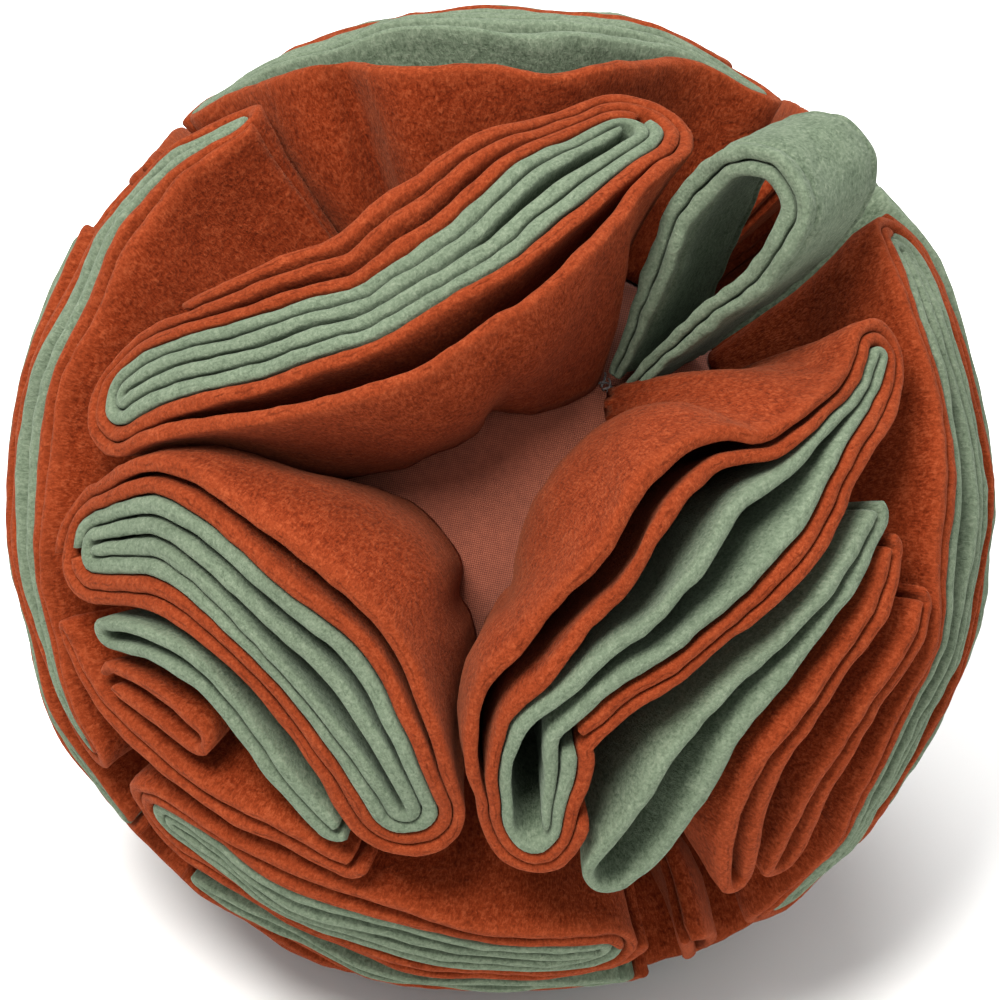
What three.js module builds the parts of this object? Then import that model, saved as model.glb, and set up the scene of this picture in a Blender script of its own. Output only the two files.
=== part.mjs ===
// A ball of fleece strips for a dog to search for treats in. Strips of rust and sage fleece are
// wound into flat nests, and each nest stands on edge on a cloth-covered core, its cut edges outward.
// Millimetres, +Z up. The origin is on the floor under the middle of the ball.
import * as THREE from "three";

// The ball
const BALL_RADIUS = 85;
const CORE_RADIUS = 45;
const CORE_DETAIL = 6; // how often the core's faces are split
const FOOT_RADIUS = 25; // the flat spot it rests on
const CENTRE_HEIGHT = Math.sqrt(BALL_RADIUS ** 2 - FOOT_RADIUS ** 2); // above the floor
const FRONT_LIFT = 35; // degrees above the horizon that the bare patch of the core looks

// The fleece, as measured at the ball's surface; it is squeezed in proportion towards the core
const FLEECE_THICKNESS = 2.3;
const FLEECE_PITCH = 2.86; // from one turn of a strip to the next
const ROOT_RADIUS = 45.7; // where a strip is sewn down, just clear of the core
const STATION_STEP = 15; // along a nest, between two corners of its faceted sides
const END_ANGLES = [22.5, 67.5, 112.5, 157.5]; // corners round the end of a nest
const END_SQUEEZE = 0.86; // the fleece is pressed thinner where it turns at the ends
const HALF_END = END_ANGLES.length / 2;
const STEP_SHARES = [0, 1 / 3, 2 / 3, 1]; // how a strip steps out to its next turn at an end
const LEVEL_RADIUS = { rim: BALL_RADIUS, root: ROOT_RADIUS };
const FIRST_CORNER = HALF_END - 1; // where the innermost strip of a nest begins
const WHOLE_CORNER = 1e-3; // a share of the way to the next corner that counts as none
const SHORTEST_FACET = 0.05; // the same, where the strip's own end needs a facet of its own

const COLOURS = {
  rust: new THREE.Color(0xb4502e),
  sage: new THREE.Color(0x9db8a0),
  core: new THREE.Color(0x8a4f3c),
};
const FLEECE_ROUGHNESS = 0.95;
const CORE_ROUGHNESS = 0.9;

// The carrying loop: a strip folded along its length, standing on the core as a drop-shaped loop
const LOOP_WIDTH = 27;
const LOOP_PLY = 2.3;
const LOOP_PLY_GAP = 0.4;
const LOOP_FACETS = 22; // from root to root
const LOOP_ROOT = { turn: 41, tilt: 50.5, radius: 46.4 };
const LOOP_TIP = { turn: 47.5, tilt: 54.3, radius: 93.5 };
const LOOP_SWING = { turn: 28, tilt: 148.5 }; // the way the loop's width runs, away from the front
const LOOP_OUTLINE = table(
  ["along", "aside", "squeeze"],
  [0, 1.75, 0.5],
  [9, 3.8, 0.7],
  [20, 7, 1],
  [33, 9.6, 1],
  [44, 7.6, 1],
  [49, 1.5, 1],
  [46.5, -5.6, 1],
  [36, -7.6, 1],
  [22, -5.4, 0.9],
  [10, -3.2, 0.7],
  [0, -1.75, 0.5],
);

// The nests. Each has a spine on the ball's surface, given by its turn round the front axis, its
// tilt from that axis and the half width of the innermost turn. Strips say which turns of the nest
// they make. Bows open a pocket inside a turn, on one side of the nest: how wide it is at the rim
// and, on the same scale, at the root, and how steeply it rises to that from the nest's ends.
const NESTS = [
  {
    name: "front_upper",
    spine: spine(
      [71, 50, 2.4], [79, 39, 2.2], [96, 31, 1.7], [117, 28, 1.6], [139, 30, 1.6], [157, 37, 1.5],
      [166, 47, 1.5],
    ),
    strips: strips(["sage", 0, 1.98], ["rust", 2.0, 4.36]),
    bows: bows(
      [3, "left", 0.45, 5, 0, 1],
      [3, "left", 0.6, 0, 8, 1],
      [3, "left", 0.14, 0, 15, 5],
      [3, "right", 0.5, 1.8, 1.8, 1],
      [4, "right", 0.5, 1.2, 1.2, 1],
    ),
  },
  {
    name: "front_lower",
    spine: spine(
      [186, 52, 1.5], [187, 43, 1.6], [195, 35, 1.9], [210, 29, 2.5], [229, 29, 2.8],
      [243, 33, 2.2], [251, 39, 1.8],
    ),
    strips: strips(["sage", 0, 1.98], ["rust", 2.0, 3.98]),
    bows: bows([1, "left", 0.6, 1.5, 1.5, 1], [3, "left", 0.5, 1.8, 9, 1]),
  },
  {
    name: "lower_middle",
    spine: spine(
      [242, 45.5, 1.5], [235, 43.5, 1.5], [223, 41.5, 1.5], [210, 42.5, 1.8], [202, 47.5, 2.2],
      [199, 53, 2.6],
    ),
    strips: strips(["sage", 0, 1.0]),
    bows: [],
  },
  {
    name: "lower_curl",
    spine: spine([206, 55.5, 2.4], [211, 52, 3.0], [217, 49, 3.0]),
    strips: strips(["rust", 0, 0.97]),
    bows: [],
  },
  {
    name: "lower_leaf",
    spine: spine(
      [247, 50.5, 1.5], [237, 50.5, 2.0], [227, 53, 1.8], [217, 57, 1.5], [207, 60.5, 1.5],
      [197, 62, 1.5],
    ),
    strips: strips(["rust", 0, 1.0]),
    bows: [],
  },
  {
    name: "front_right",
    spine: spine(
      [275.5, 37.5, 5.0], [277.5, 33, 5.0], [282, 28, 2.6], [292, 25.5, 1.5], [311, 23, 1.5],
      [334, 24, 1.8], [352, 30, 2.4], [1, 37, 2.0], [13, 45.5, 1.6], [23, 53, 1.4],
    ),
    strips: strips(["sage", 0, 1.12], ["rust", 1.15, 3.05]),
    bows: bows(
      [0, "left", 0.66, 4.5, 0, 1.5],
      [1, "left", 0.6, 6, 3, 2.5],
      [2, "left", 0.3, 3.5, 0, 1],
      [2, "left", 0.8, 0, 20, 1],
      [1, "right", 0.5, 1, 1, 1],
    ),
  },
  {
    name: "right_middle",
    spine: spine(
      [354, 48, 1.6], [343, 42, 2.2], [328, 38.3, 3.0], [312, 38.8, 4.0], [297, 44.5, 5.0],
      [289, 48, 5.0],
    ),
    strips: strips(["sage", 0, 1.0]),
    bows: [],
  },
  {
    name: "right_leaf_inner",
    spine: spine(
      [349.5, 51, 1.5], [337, 48.5, 1.6], [328, 46.8, 1.8], [320, 46.5, 2.2], [313, 48.5, 2.4],
      [307, 53, 2.6], [303, 60, 2.4],
    ),
    strips: strips(["rust", 0, 1.0]),
    bows: [],
  },
  {
    name: "right_leaf_outer",
    spine: spine([344, 57, 1.5], [330, 57, 1.8], [315, 60, 2.2], [308, 64, 2.6]),
    strips: strips(["rust", 0, 1.0]),
    bows: [],
  },
  {
    name: "top_band",
    spine: spine(
      [124, 84, 1.5], [111, 79.5, 1.8], [97, 76.5, 2.0], [84, 76, 2.0], [71, 77, 1.8],
      [59, 79, 1.5],
    ),
    strips: strips(["sage", 0, 1.98], ["rust", 2.0, 2.98]),
    bows: bows([2, "right", 0.42, 22, 16, 1]),
  },
  {
    name: "left_band",
    spine: spine(
      [211, 72, 1.5], [200, 73, 2.6], [187, 74, 3.4], [173, 74, 3.4], [158, 73, 3.0],
      [144, 70.5, 2.0], [134, 69, 1.8], [124, 67.5, 1.5],
    ),
    strips: strips(["sage", 0, 0.98], ["rust", 1.0, 2.42]),
    bows: bows([1, "right", 0.5, 2, 2, 1], [2, "right", 0.6, 4, 5, 1]),
  },
  {
    name: "bottom_band",
    spine: spine(
      [281, 68, 1.5], [270, 66, 1.6], [259, 64, 1.8], [247, 63, 1.8], [235, 64, 1.6],
      [225, 67, 1.5],
    ),
    strips: strips(["sage", 0, 1.98], ["rust", 2.0, 3.98]),
    bows: bows([1, "right", 0.5, 1.2, 1.2, 1], [3, "right", 0.5, 1.5, 1.5, 1]),
  },
  {
    name: "right_band",
    spine: spine(
      [29, 75, 1.5], [19, 71, 1.6], [6, 70, 1.8], [351, 70, 1.8], [336, 72, 1.8], [320, 76, 1.6],
      [306, 81, 1.5],
    ),
    strips: strips(["sage", 0, 1.98], ["rust", 2.0, 3.98]),
    bows: bows([1, "right", 0.45, 5, 4, 1], [2, "left", 0.5, 6, 6, 1]),
  },
  {
    name: "top_outer",
    spine: spine([119, 95, 1.5], [106, 92, 1.8], [92, 89.5, 2.0], [78, 89, 1.8], [64, 89, 1.5]),
    strips: strips(["sage", 0, 0.98], ["rust", 1.0, 1.98]),
    bows: [],
  },
  {
    name: "left_outer",
    spine: spine(
      [219, 84, 1.5], [206, 86, 1.8], [192, 87, 2.0], [178, 87, 2.0], [164, 86, 1.8],
      [150, 85, 1.5],
    ),
    strips: strips(["sage", 0, 0.98], ["rust", 1.0, 1.98]),
    bows: [],
  },
  {
    name: "right_outer",
    spine: spine(
      [38, 88, 1.5], [24, 88, 1.8], [10, 88, 2.0], [355, 88, 2.0], [340, 89, 1.8], [326, 90, 1.5],
    ),
    strips: strips(["sage", 0, 1.98]),
    bows: [],
  },
  {
    name: "bottom_outer",
    spine: spine([283, 81, 2.0], [271, 79, 3.0], [258, 78, 3.4], [245, 78, 3.0], [233, 79, 2.0]),
    strips: strips(["sage", 0, 0.98], ["rust", 1.5, 1.98]),
    bows: [],
  },
  {
    name: "bottom_corner",
    spine: spine([294, 73, 1.8], [293.5, 82, 2.2], [293, 92, 1.8]),
    strips: strips(["rust", 0, 0.97]),
    bows: [],
  },
  {
    name: "back_top",
    spine: spine([122, 107, 1.5], [108, 105, 2.0], [93, 103, 2.4], [78, 102, 2.0], [64, 101, 1.5]),
    strips: strips(["sage", 0, 0.98], ["rust", 1.0, 2.98]),
    bows: bows([2, "right", 0.5, 3, 3, 1], [2, "left", 0.4, 4, 4, 1]),
  },
  {
    name: "back_right",
    spine: spine([42, 99, 1.5], [26, 101, 2.0], [10, 102, 2.4], [354, 102, 2.0], [338, 102, 1.5]),
    strips: strips(["sage", 0, 0.98], ["rust", 1.0, 2.98]),
    bows: bows([2, "right", 0.4, 3, 3, 1], [2, "left", 0.5, 4, 4, 1]),
  },
  {
    name: "underside_right",
    spine: spine(
      [322, 106, 1.5], [308, 105, 2.0], [294, 104, 2.4], [280, 101, 2.0], [268, 97, 1.5],
    ),
    strips: strips(["sage", 0, 0.98], ["rust", 1.0, 2.98]),
    bows: bows([2, "right", 0.4, 4, 4, 1]),
  },
  {
    name: "underside_left",
    spine: spine([254, 95, 1.5], [242, 95, 2.0], [230, 96, 2.4], [218, 97, 2.0], [206, 99, 1.5]),
    strips: strips(["sage", 0, 0.98], ["rust", 1.0, 2.98]),
    bows: bows([2, "left", 0.6, 4, 4, 1]),
  },
  {
    name: "back_left",
    spine: spine(
      [190, 100, 1.5], [178, 101, 2.0], [165, 102, 2.4], [152, 101, 2.0], [141, 100, 1.5],
    ),
    strips: strips(["sage", 0, 0.98], ["rust", 1.0, 2.98]),
    bows: bows([2, "right", 0.6, 3, 3, 1], [2, "left", 0.4, 5, 5, 1]),
  },
  {
    name: "rear_upper",
    spine: spine([102, 121, 1.5], [84, 119, 2.0], [66, 119, 2.4], [49, 119, 2.0], [36, 120, 1.5]),
    strips: strips(["sage", 0, 0.98], ["rust", 1.0, 2.98]),
    bows: bows([2, "right", 0.4, 5, 5, 1], [2, "left", 0.6, 5, 5, 1]),
  },
  {
    name: "rear_right",
    spine: spine([9, 122, 1.5], [354, 122, 2.0], [338, 123, 2.4], [320, 124, 2.0], [306, 126, 1.5]),
    strips: strips(["sage", 0, 0.98], ["rust", 1.0, 2.98]),
    bows: bows([2, "right", 0.5, 5, 5, 1], [2, "left", 0.4, 5, 5, 1]),
  },
  {
    name: "foot",
    spine: spine(
      [288, 126, 1.5], [276, 125, 1.6], [264, 124, 1.6], [252, 122, 1.6], [240, 121, 1.6],
      [228, 121, 1.5],
    ),
    strips: strips(["sage", 0, 1.98], ["rust", 2.0, 3.98]),
    bows: bows(
      [2, "right", 0.4, 4, 4, 1],
      [2, "left", 0.4, 4, 4, 1],
      [3, "right", 0.5, 3, 3, 1],
      [3, "left", 0.4, 4, 4, 1],
    ),
  },
  {
    name: "rear_left",
    spine: spine(
      [206, 121, 1.5], [186, 122, 2.0], [166, 123, 2.4], [146, 122, 2.0], [124, 122, 1.5],
    ),
    strips: strips(["sage", 0, 0.98], ["rust", 1.0, 2.98]),
    bows: bows([2, "right", 0.5, 5, 5, 1], [2, "left", 0.4, 5, 5, 1]),
  },
  {
    name: "upper_left_corner",
    spine: spine([137, 79, 1.6], [133, 90, 2.2], [131, 101, 2.2], [130, 110, 1.6]),
    strips: strips(["rust", 0, 0.97]),
    bows: [],
  },
  {
    name: "upper_right_corner",
    spine: spine([49, 80, 1.6], [51, 90, 2.2], [52, 99, 2.2], [52, 107, 1.6]),
    strips: strips(["rust", 0, 0.97]),
    bows: [],
  },
  {
    name: "rear_right_corner",
    spine: spine([24, 112, 1.5], [23, 120, 1.6], [22, 129, 1.5]),
    strips: strips(["sage", 0, 0.97]),
    bows: [],
  },
  {
    name: "rear_left_corner",
    spine: spine([113, 116, 1.6], [113, 124, 2.4], [115, 132, 1.6]),
    strips: strips(["sage", 0, 0.97]),
    bows: [],
  },
  {
    name: "centre_middle",
    spine: spine([95, 166, 1.6], [85, 171, 2.6], [0, 177, 3.0], [265, 172, 2.6], [250, 167, 1.6]),
    strips: strips(["sage", 0, 0.98], ["rust", 1.0, 1.98]),
    bows: bows([1, "left", 0.5, 4, 2, 1], [1, "right", 0.5, 3, 2, 1]),
  },
  {
    name: "centre_upper",
    spine: spine(
      [10, 137, 1.5], [22, 146, 1.8], [45, 152, 2.4], [70, 152, 2.4], [90, 146, 1.8],
      [100, 138, 1.5],
    ),
    strips: strips(["sage", 0, 1.98], ["rust", 2.0, 3.98]),
    bows: bows([2, "left", 0.5, 3, 3, 1]),
  },
  {
    name: "centre_left",
    spine: spine(
      [130, 138, 1.5], [142, 146, 1.8], [165, 152, 2.4], [190, 152, 2.4], [209, 146, 1.8],
      [220, 140, 1.5],
    ),
    strips: strips(["sage", 0, 1.98], ["rust", 2.0, 3.98]),
    bows: bows([2, "left", 0.4, 3, 3, 1]),
  },
  {
    name: "centre_right",
    spine: spine(
      [249, 142, 1.5], [262, 149, 1.8], [285, 154, 2.4], [308, 152, 2.4], [327, 146, 1.8],
      [337, 140, 1.5],
    ),
    strips: strips(["sage", 0, 1.98], ["rust", 2.0, 3.98]),
    bows: bows([2, "left", 0.6, 3, 3, 1]),
  },
];

// A table with named columns.
function table(columns, ...rows) {
  return rows.map((row) => Object.fromEntries(columns.map((column, i) => [column, row[i]])));
}

function spine(...rows) {
  return table(["turn", "tilt", "half"], ...rows);
}

function strips(...rows) {
  return table(["colour", "from", "to"], ...rows);
}

function bows(...rows) {
  return table(["turn", "side", "at", "rim", "root", "steep"], ...rows);
}

// The direction that lies turn degrees round the front axis and tilt degrees away from it.
function direction({ turn, tilt }) {
  const round = THREE.MathUtils.degToRad(turn);
  const lean = THREE.MathUtils.degToRad(tilt);
  const lift = THREE.MathUtils.degToRad(FRONT_LIFT);
  const right = Math.sin(lean) * Math.cos(round);
  const up = Math.sin(lean) * Math.sin(round);
  const out = Math.cos(lean);
  return new THREE.Vector3(
    right,
    up * Math.sin(lift) - out * Math.cos(lift),
    up * Math.cos(lift) + out * Math.sin(lift),
  );
}

// The corners of a nest's innermost turn, in the order in which the strip passes them: each has
// its place on the spine, the way out from there, and the side of the nest that it is on.
function cornersOf(nest) {
  const path = new THREE.CatmullRomCurve3(nest.spine.map(direction), false, "centripetal");
  const halves = new THREE.SplineCurve(nest.spine.map((row, i) => new THREE.Vector2(i, row.half)));
  const length = path.getLength() * BALL_RADIUS;
  const count = Math.max(3, Math.round(length / STATION_STEP));
  const corner = (t, angle, side) => {
    const along = path.getPoint(t).normalize();
    const ahead = path.getTangent(t);
    ahead.addScaledVector(along, -ahead.dot(along)).normalize();
    const right = new THREE.Vector3().crossVectors(ahead, along);
    const radians = THREE.MathUtils.degToRad(angle);
    const out = right.multiplyScalar(Math.cos(radians)).addScaledVector(ahead, Math.sin(radians));
    const miter = side === "end" ? 1 / Math.cos(THREE.MathUtils.degToRad(END_ANGLES[0])) : 1;
    const squeeze = 1 - (1 - END_SQUEEZE) * Math.abs(2 * t - 1) ** 4;
    return { along, out: out.multiplyScalar(miter * squeeze), half: halves.getPoint(t).y, side, t };
  };
  const sideStations = Array.from({ length: count - 1 }, (_, i) => (i + 1) / count);
  const startAngles = END_ANGLES.map((angle) => -angle);
  return [
    ...startAngles.slice(0, HALF_END).reverse().map((angle) => corner(0, angle, "end")),
    ...sideStations.map((t) => corner(t, 0, "right")),
    ...END_ANGLES.map((angle) => corner(1, angle, "end")),
    ...sideStations.toReversed().map((t) => corner(t, 180, "left")),
    ...startAngles.slice(HALF_END).reverse().map((angle) => corner(0, angle, "end")),
  ];
}

// How far a corner of the strip lies outside the nest's innermost turn. Each turn steps out while
// it rounds the end where it began, and stays at its distance along the sides.
function offsetAt(nest, corners, index, level) {
  const size = corners.length;
  const before = Math.floor(index / size);
  const place = index - before * size;
  let turns = before;
  if (place < HALF_END) turns = before - 1 + STEP_SHARES[HALF_END + place];
  if (place >= size - HALF_END) turns = before + STEP_SHARES[place - (size - HALF_END)];
  const { side, t } = corners[place];
  let opened = 0;
  for (const bow of nest.bows) {
    if (bow.side !== side || turns < bow.turn) continue;
    const share = t < bow.at ? t / bow.at : (1 - t) / (1 - bow.at);
    opened += bow[level] * Math.sin((share * Math.PI) / 2) ** (2 * bow.steep);
  }
  return turns * FLEECE_PITCH + opened;
}

function standOnFloor(point) {
  point.z = Math.max(0, point.z + CENTRE_HEIGHT);
  return point;
}

// The four corners of a strip's cross-section where it passes one corner of its nest, or a share
// of the way on to the next corner.
function sectionAt(nest, corners, index) {
  const edge = (place, shift, level) => {
    const { along, out, half } = corners[place % corners.length];
    const reach = (half + offsetAt(nest, corners, place, level) + shift) / BALL_RADIUS;
    return along.clone().addScaledVector(out, reach).normalize().multiplyScalar(LEVEL_RADIUS[level]);
  };
  const low = Math.floor(index + WHOLE_CORNER);
  const share = index - low;
  const between = (shift, level) => {
    const here = edge(low, shift, level);
    return share > WHOLE_CORNER ? here.lerp(edge(low + 1, shift, level), share) : here;
  };
  const side = FLEECE_THICKNESS / 2;
  return [
    between(-side, "rim"),
    between(side, "rim"),
    between(side, "root"),
    between(-side, "root"),
  ].map(standOnFloor);
}

// A closed solid through a row of cross-sections, each with its corners in the same order.
function solidThrough(sections) {
  const size = sections[0].length;
  const positions = sections.flat().flatMap((point) => [point.x, point.y, point.z]);
  const faces = [];
  for (let i = 0; i + 1 < sections.length; i++) {
    for (let k = 0; k < size; k++) {
      const next = (k + 1) % size;
      const here = i * size;
      const there = here + size;
      faces.push(here + k, here + next, there + next, here + k, there + next, there + k);
    }
  }
  const last = (sections.length - 1) * size;
  for (const [a, b, c] of endTriangles(size)) {
    faces.push(c, b, a, last + a, last + b, last + c);
  }
  const geometry = new THREE.BufferGeometry();
  geometry.setAttribute("position", new THREE.Float32BufferAttribute(positions, 3));
  geometry.setIndex(faces);
  return geometry;
}

// The triangles that close the end of a four-cornered or an eight-cornered (folded) section.
function endTriangles(size) {
  if (size === 4) return [[0, 1, 2], [0, 2, 3]];
  return [[0, 1, 6], [0, 6, 7], [1, 2, 5], [1, 5, 6], [2, 3, 4], [2, 4, 5]];
}

function mesh(name, geometry, colour, roughness) {
  geometry.computeVertexNormals();
  const material = new THREE.MeshStandardMaterial({ color: COLOURS[colour], roughness, metalness: 0 });
  const made = new THREE.Mesh(geometry, material);
  made.name = name;
  return made;
}

function stripMesh(nest, corners, { colour, from, to }) {
  const first = Math.max(FIRST_CORNER, from * corners.length);
  const last = to * corners.length;
  const stops = [first];
  for (let i = Math.floor(first) + 1; i < last - SHORTEST_FACET; i++) {
    if (i > first + SHORTEST_FACET) stops.push(i);
  }
  stops.push(last);
  const sections = stops.map((index) => sectionAt(nest, corners, index));
  return mesh(`${nest.name}_${colour}`, solidThrough(sections), colour, FLEECE_ROUGHNESS);
}

function coreMesh() {
  const geometry = new THREE.IcosahedronGeometry(CORE_RADIUS, CORE_DETAIL);
  geometry.translate(0, 0, CENTRE_HEIGHT);
  return mesh("core_ball", geometry, "core", CORE_ROUGHNESS);
}

// The folded strip's section: two plies side by side, joined along the fold at the far edge.
function loopSection(centre, wide, thick, squeeze) {
  const ply = LOOP_PLY * squeeze;
  const gap = (LOOP_PLY_GAP * squeeze) / 2;
  const near = -LOOP_WIDTH / 2;
  const far = LOOP_WIDTH / 2;
  const corners = [
    [near, -gap],
    [near, -gap - ply],
    [far, -gap - ply],
    [far, gap + ply],
    [near, gap + ply],
    [near, gap],
    [far - ply, gap],
    [far - ply, -gap],
  ];
  return corners.map(([across, out]) =>
    standOnFloor(centre.clone().addScaledVector(wide, across).addScaledVector(thick, out)),
  );
}

function carryLoopMesh() {
  const root = direction(LOOP_ROOT).multiplyScalar(LOOP_ROOT.radius);
  const tip = direction(LOOP_TIP).multiplyScalar(LOOP_TIP.radius);
  const up = tip.sub(root).normalize();
  const swing = direction(LOOP_SWING);
  const wide = swing.addScaledVector(up, -swing.dot(up)).normalize();
  const aside = new THREE.Vector3().crossVectors(up, wide);
  const stations = LOOP_OUTLINE.map((row) =>
    root.clone().addScaledVector(up, row.along).addScaledVector(aside, row.aside),
  );
  const centre = new THREE.CatmullRomCurve3(stations, false, "centripetal");
  const pressed = LOOP_OUTLINE.map((row, i) => new THREE.Vector2(i, row.squeeze));
  const squeezes = new THREE.SplineCurve(pressed);
  const sections = Array.from({ length: LOOP_FACETS + 1 }, (_, i) => {
    const t = i / LOOP_FACETS;
    const thick = new THREE.Vector3().crossVectors(centre.getTangent(t), wide).normalize();
    return loopSection(centre.getPoint(t), wide, thick, squeezes.getPoint(t).y);
  });
  return mesh("carry_loop", solidThrough(sections), "sage", FLEECE_ROUGHNESS);
}

const ball = new THREE.Group();
ball.add(coreMesh());
ball.add(carryLoopMesh());
for (const nest of NESTS) {
  const corners = cornersOf(nest);
  for (const strip of nest.strips) {
    ball.add(stripMesh(nest, corners, strip));
  }
}

export default ball;
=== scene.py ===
# The look of a ball of fleece strips for a dog to search for treats in: wavy soft strips with a
# short nap and cut edges, a woven core, a stitched carrying loop, a pale floor and soft light.
# Lengths are millimetres on the ball and are turned into metres when a mesh is made.
import math

import bpy
import numpy as np
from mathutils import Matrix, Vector


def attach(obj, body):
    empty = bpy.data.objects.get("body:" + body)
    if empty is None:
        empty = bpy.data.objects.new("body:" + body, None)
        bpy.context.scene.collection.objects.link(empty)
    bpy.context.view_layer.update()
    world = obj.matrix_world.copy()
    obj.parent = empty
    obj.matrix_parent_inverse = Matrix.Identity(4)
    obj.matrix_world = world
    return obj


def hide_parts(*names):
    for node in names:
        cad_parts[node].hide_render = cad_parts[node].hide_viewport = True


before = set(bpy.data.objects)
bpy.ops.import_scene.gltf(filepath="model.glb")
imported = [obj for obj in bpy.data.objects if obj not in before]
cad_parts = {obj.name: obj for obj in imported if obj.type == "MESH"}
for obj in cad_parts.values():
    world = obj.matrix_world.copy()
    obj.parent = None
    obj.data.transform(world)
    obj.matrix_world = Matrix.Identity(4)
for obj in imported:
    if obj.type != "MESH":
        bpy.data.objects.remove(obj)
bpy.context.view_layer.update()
MM = 0.001

# The ball, the same as its solids
BALL_RADIUS = 85.0
CORE_RADIUS = 45.0
FOOT_RADIUS = 25.0
FRONT_LIFT = math.radians(35)
CENTRE_HEIGHT = math.sqrt(BALL_RADIUS**2 - FOOT_RADIUS**2)
CENTRE = np.array([0.0, 0.0, CENTRE_HEIGHT])

# The fleece, at the ball's surface and at the core
FLEECE_PITCH = 2.86
STATION_STEP = 15.0  # between two corners of a nest's side, as in its solid
LEAST_FACETS = 3
END_CORNERS = 4  # of the solid, round one end of a nest
END_CORNER = 22.5  # degrees round the end, from the nest's side to the first of them
END_STEP = 45.0
STEP_OUT = (END_CORNERS - 1) * END_STEP  # round which a strip steps out to its next turn
END_SQUEEZE = 0.86
END_SQUEEZE_POWER = 4
ROOT_RADIUS = 45.25
RIM_THICKNESS = 2.5
ROOT_THICKNESS = 1.25
RIM_SLACK = 0.1  # the least room between two turns at the rim
BEND_ROOM = 1.7  # a strip's thickness at most, as a share of the radius it turns round
CAP_HEIGHT = 1.0  # how far the rounded cut edge stands above the flat faces
CAP_DEPTH = 1.15  # how far below the ball's surface the flat faces end
CAP_UNEVEN = [(0.35, 7.1), (0.25, 3.3)]  # how unevenly the edge is cut, and over what length
END_LENGTH = 1.6  # along the strip, over which it is drawn in at a cut end
END_DRAWN = 0.72  # the thickness left there, as a share
CAP_DRAWN = 0.9  # and the least height of the rounded edge
STATION_SPACING = 1.5
TIGHT_SPACING = (0.5, 0.35, 0.14)  # at a bend: the least, and what it grows from and by per radius
LEAST_STATIONS = 8
BEND_ANGLE_STEP = 3.0
FACET_STATIONS = 24
FACE_LEVELS = np.array([0.0, 0.06, 0.16, 0.3, 0.45, 0.6, 0.74, 0.86, 0.95])
CAP_ANGLES = np.radians([158, 135, 112, 90, 68, 45, 22])
WARP_SIZE = 1.5  # the broad waves of the strips
WARP_AT_ROOT = 0.25  # the share of them that is left near the core
RIM_WAVE_SIZE = 0.3
HEIGHT_WAVE_SIZE = 0.45  # how much the rims rise and fall
FLUFF_SIZE = 0.07
PUCKER_SIZE = 0.12  # where the strips are sewn down
RIM_DEPTH = 8  # below the ball's surface, from where on the waves have their whole size
ROOT_DEPTH = 2  # above the strips' roots, up to where they have least
FREE_DEPTH = 8  # above the core, from where on they are free of it
SEWN_DEPTHS = (1, 10)  # above the core, between which the puckers fade
HEIGHT_DEPTH = 15  # below the ball's surface, from where on the strips rise and fall
BRUSHED_DEPTH = 18.0  # the strip's depth in the nap's pattern, less than its real 40: hairs lie down it

# The carrying loop, the same as its solid
LOOP_WIDTH = 27.0
LOOP_PLY = 2.3
LOOP_PLY_GAP = 0.4
LOOP_ROOT = (41, 50.5, 46.4)  # turn, tilt and distance from the ball's centre
LOOP_TIP = (47.5, 54.3, 93.5)
LOOP_SWING = (28, 148.5)
LOOP_OUTLINE = [  # along, aside, squeeze
    (0, 1.75, 0.5),
    (9, 3.8, 0.7),
    (20, 7, 1),
    (33, 9.6, 1),
    (44, 7.6, 1),
    (49, 1.5, 1),
    (46.5, -5.6, 1),
    (36, -7.6, 1),
    (22, -5.4, 0.9),
    (10, -3.2, 0.7),
    (0, -1.75, 0.5),
]
LOOP_STATIONS = 170
LOOP_PLY_FLUFF = 1.04  # how much thicker than its solid the nap makes a ply
LOOP_FLUFF_SIZE = 0.1
LOOP_WAVE_SIZE = 0.35
LOOP_WAY = 110  # from root to root along the strip, about
LOOP_FREE = (4, 20)  # of that way, over which the waves grow to their whole size
LOOP_EDGE_ANGLES = [10, 40, 70, 90, 110, 140, 170]  # round the rounded cut edge of each ply
LOOP_EDGE_REACH = 0.75
LOOP_FOLD_STEP = 20  # degrees round the folded edge
LOOP_GROOVES = {2.2: 0.22, 2.6: 0.5, 3.0: 0.22}  # the stitched groove: in from the cut edge, depth
LOOP_FOLD_GROOVES = {3.9: 0.12, 3.3: 0.3}  # the same beside the fold

# The grey stitches at the loop's root
STITCHES = 9
STITCH_SPACING = 0.62
STITCH_STRAY = 0.35
STITCH_LEAN = (0.4, 1.2)
STITCH_REACH = (1.0, 1.6)
STITCH_HEIGHT = (0.5, 0.9)
STITCH_SIDES = 7
STITCH_STEPS = 12
THREAD_RADIUS = 0.23
THREAD_TWIST = (0.15, 2.2)  # how much its twist swells it, and how far round it goes in a step
THREAD_SINK = 0.2  # how far above the core its ends are

# The core's cover
CORE_RINGS = 120
CORE_SIDES = 240
CORE_LUMPS = 0.25
CORE_SHRINK = 0.3  # under its solid, on average
WEAVE_THREAD = 0.00044  # metres from one thread to the next
WEAVE_SPIN = 0.6  # how far the weave is turned on the bare patch

# The nap: noise scales per metre, and how much each counts in the colour and in the height
HAIRS, SPECKS, CLUMPS = 2300.0, 1250.0, 330.0
SHADES = 60.0
NAP_TONE = (0.45, 0.35, 0.2)
NAP_HEIGHT = (0.4, 0.35, 0.6)
NAP_BUMP = (0.8, 0.0007)  # strength, and height in metres
CREST_PAINTED_HIGHLIGHT = 0.22  # painted highlight: how much paler the cut edges are, as if lit from above
CREASE_WANDER = (420.0, 1.1)  # painted shade of the crease between two plies, a faint broken line along a cut edge: noise scale, and how far it strays
CREASE_WIDTH = (0.02, 0.22)
CREASE_BREAKS = 260.0
CREASE_DEPTH = 0.2
CREASE_SHADE_DARK = 0.6

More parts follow.
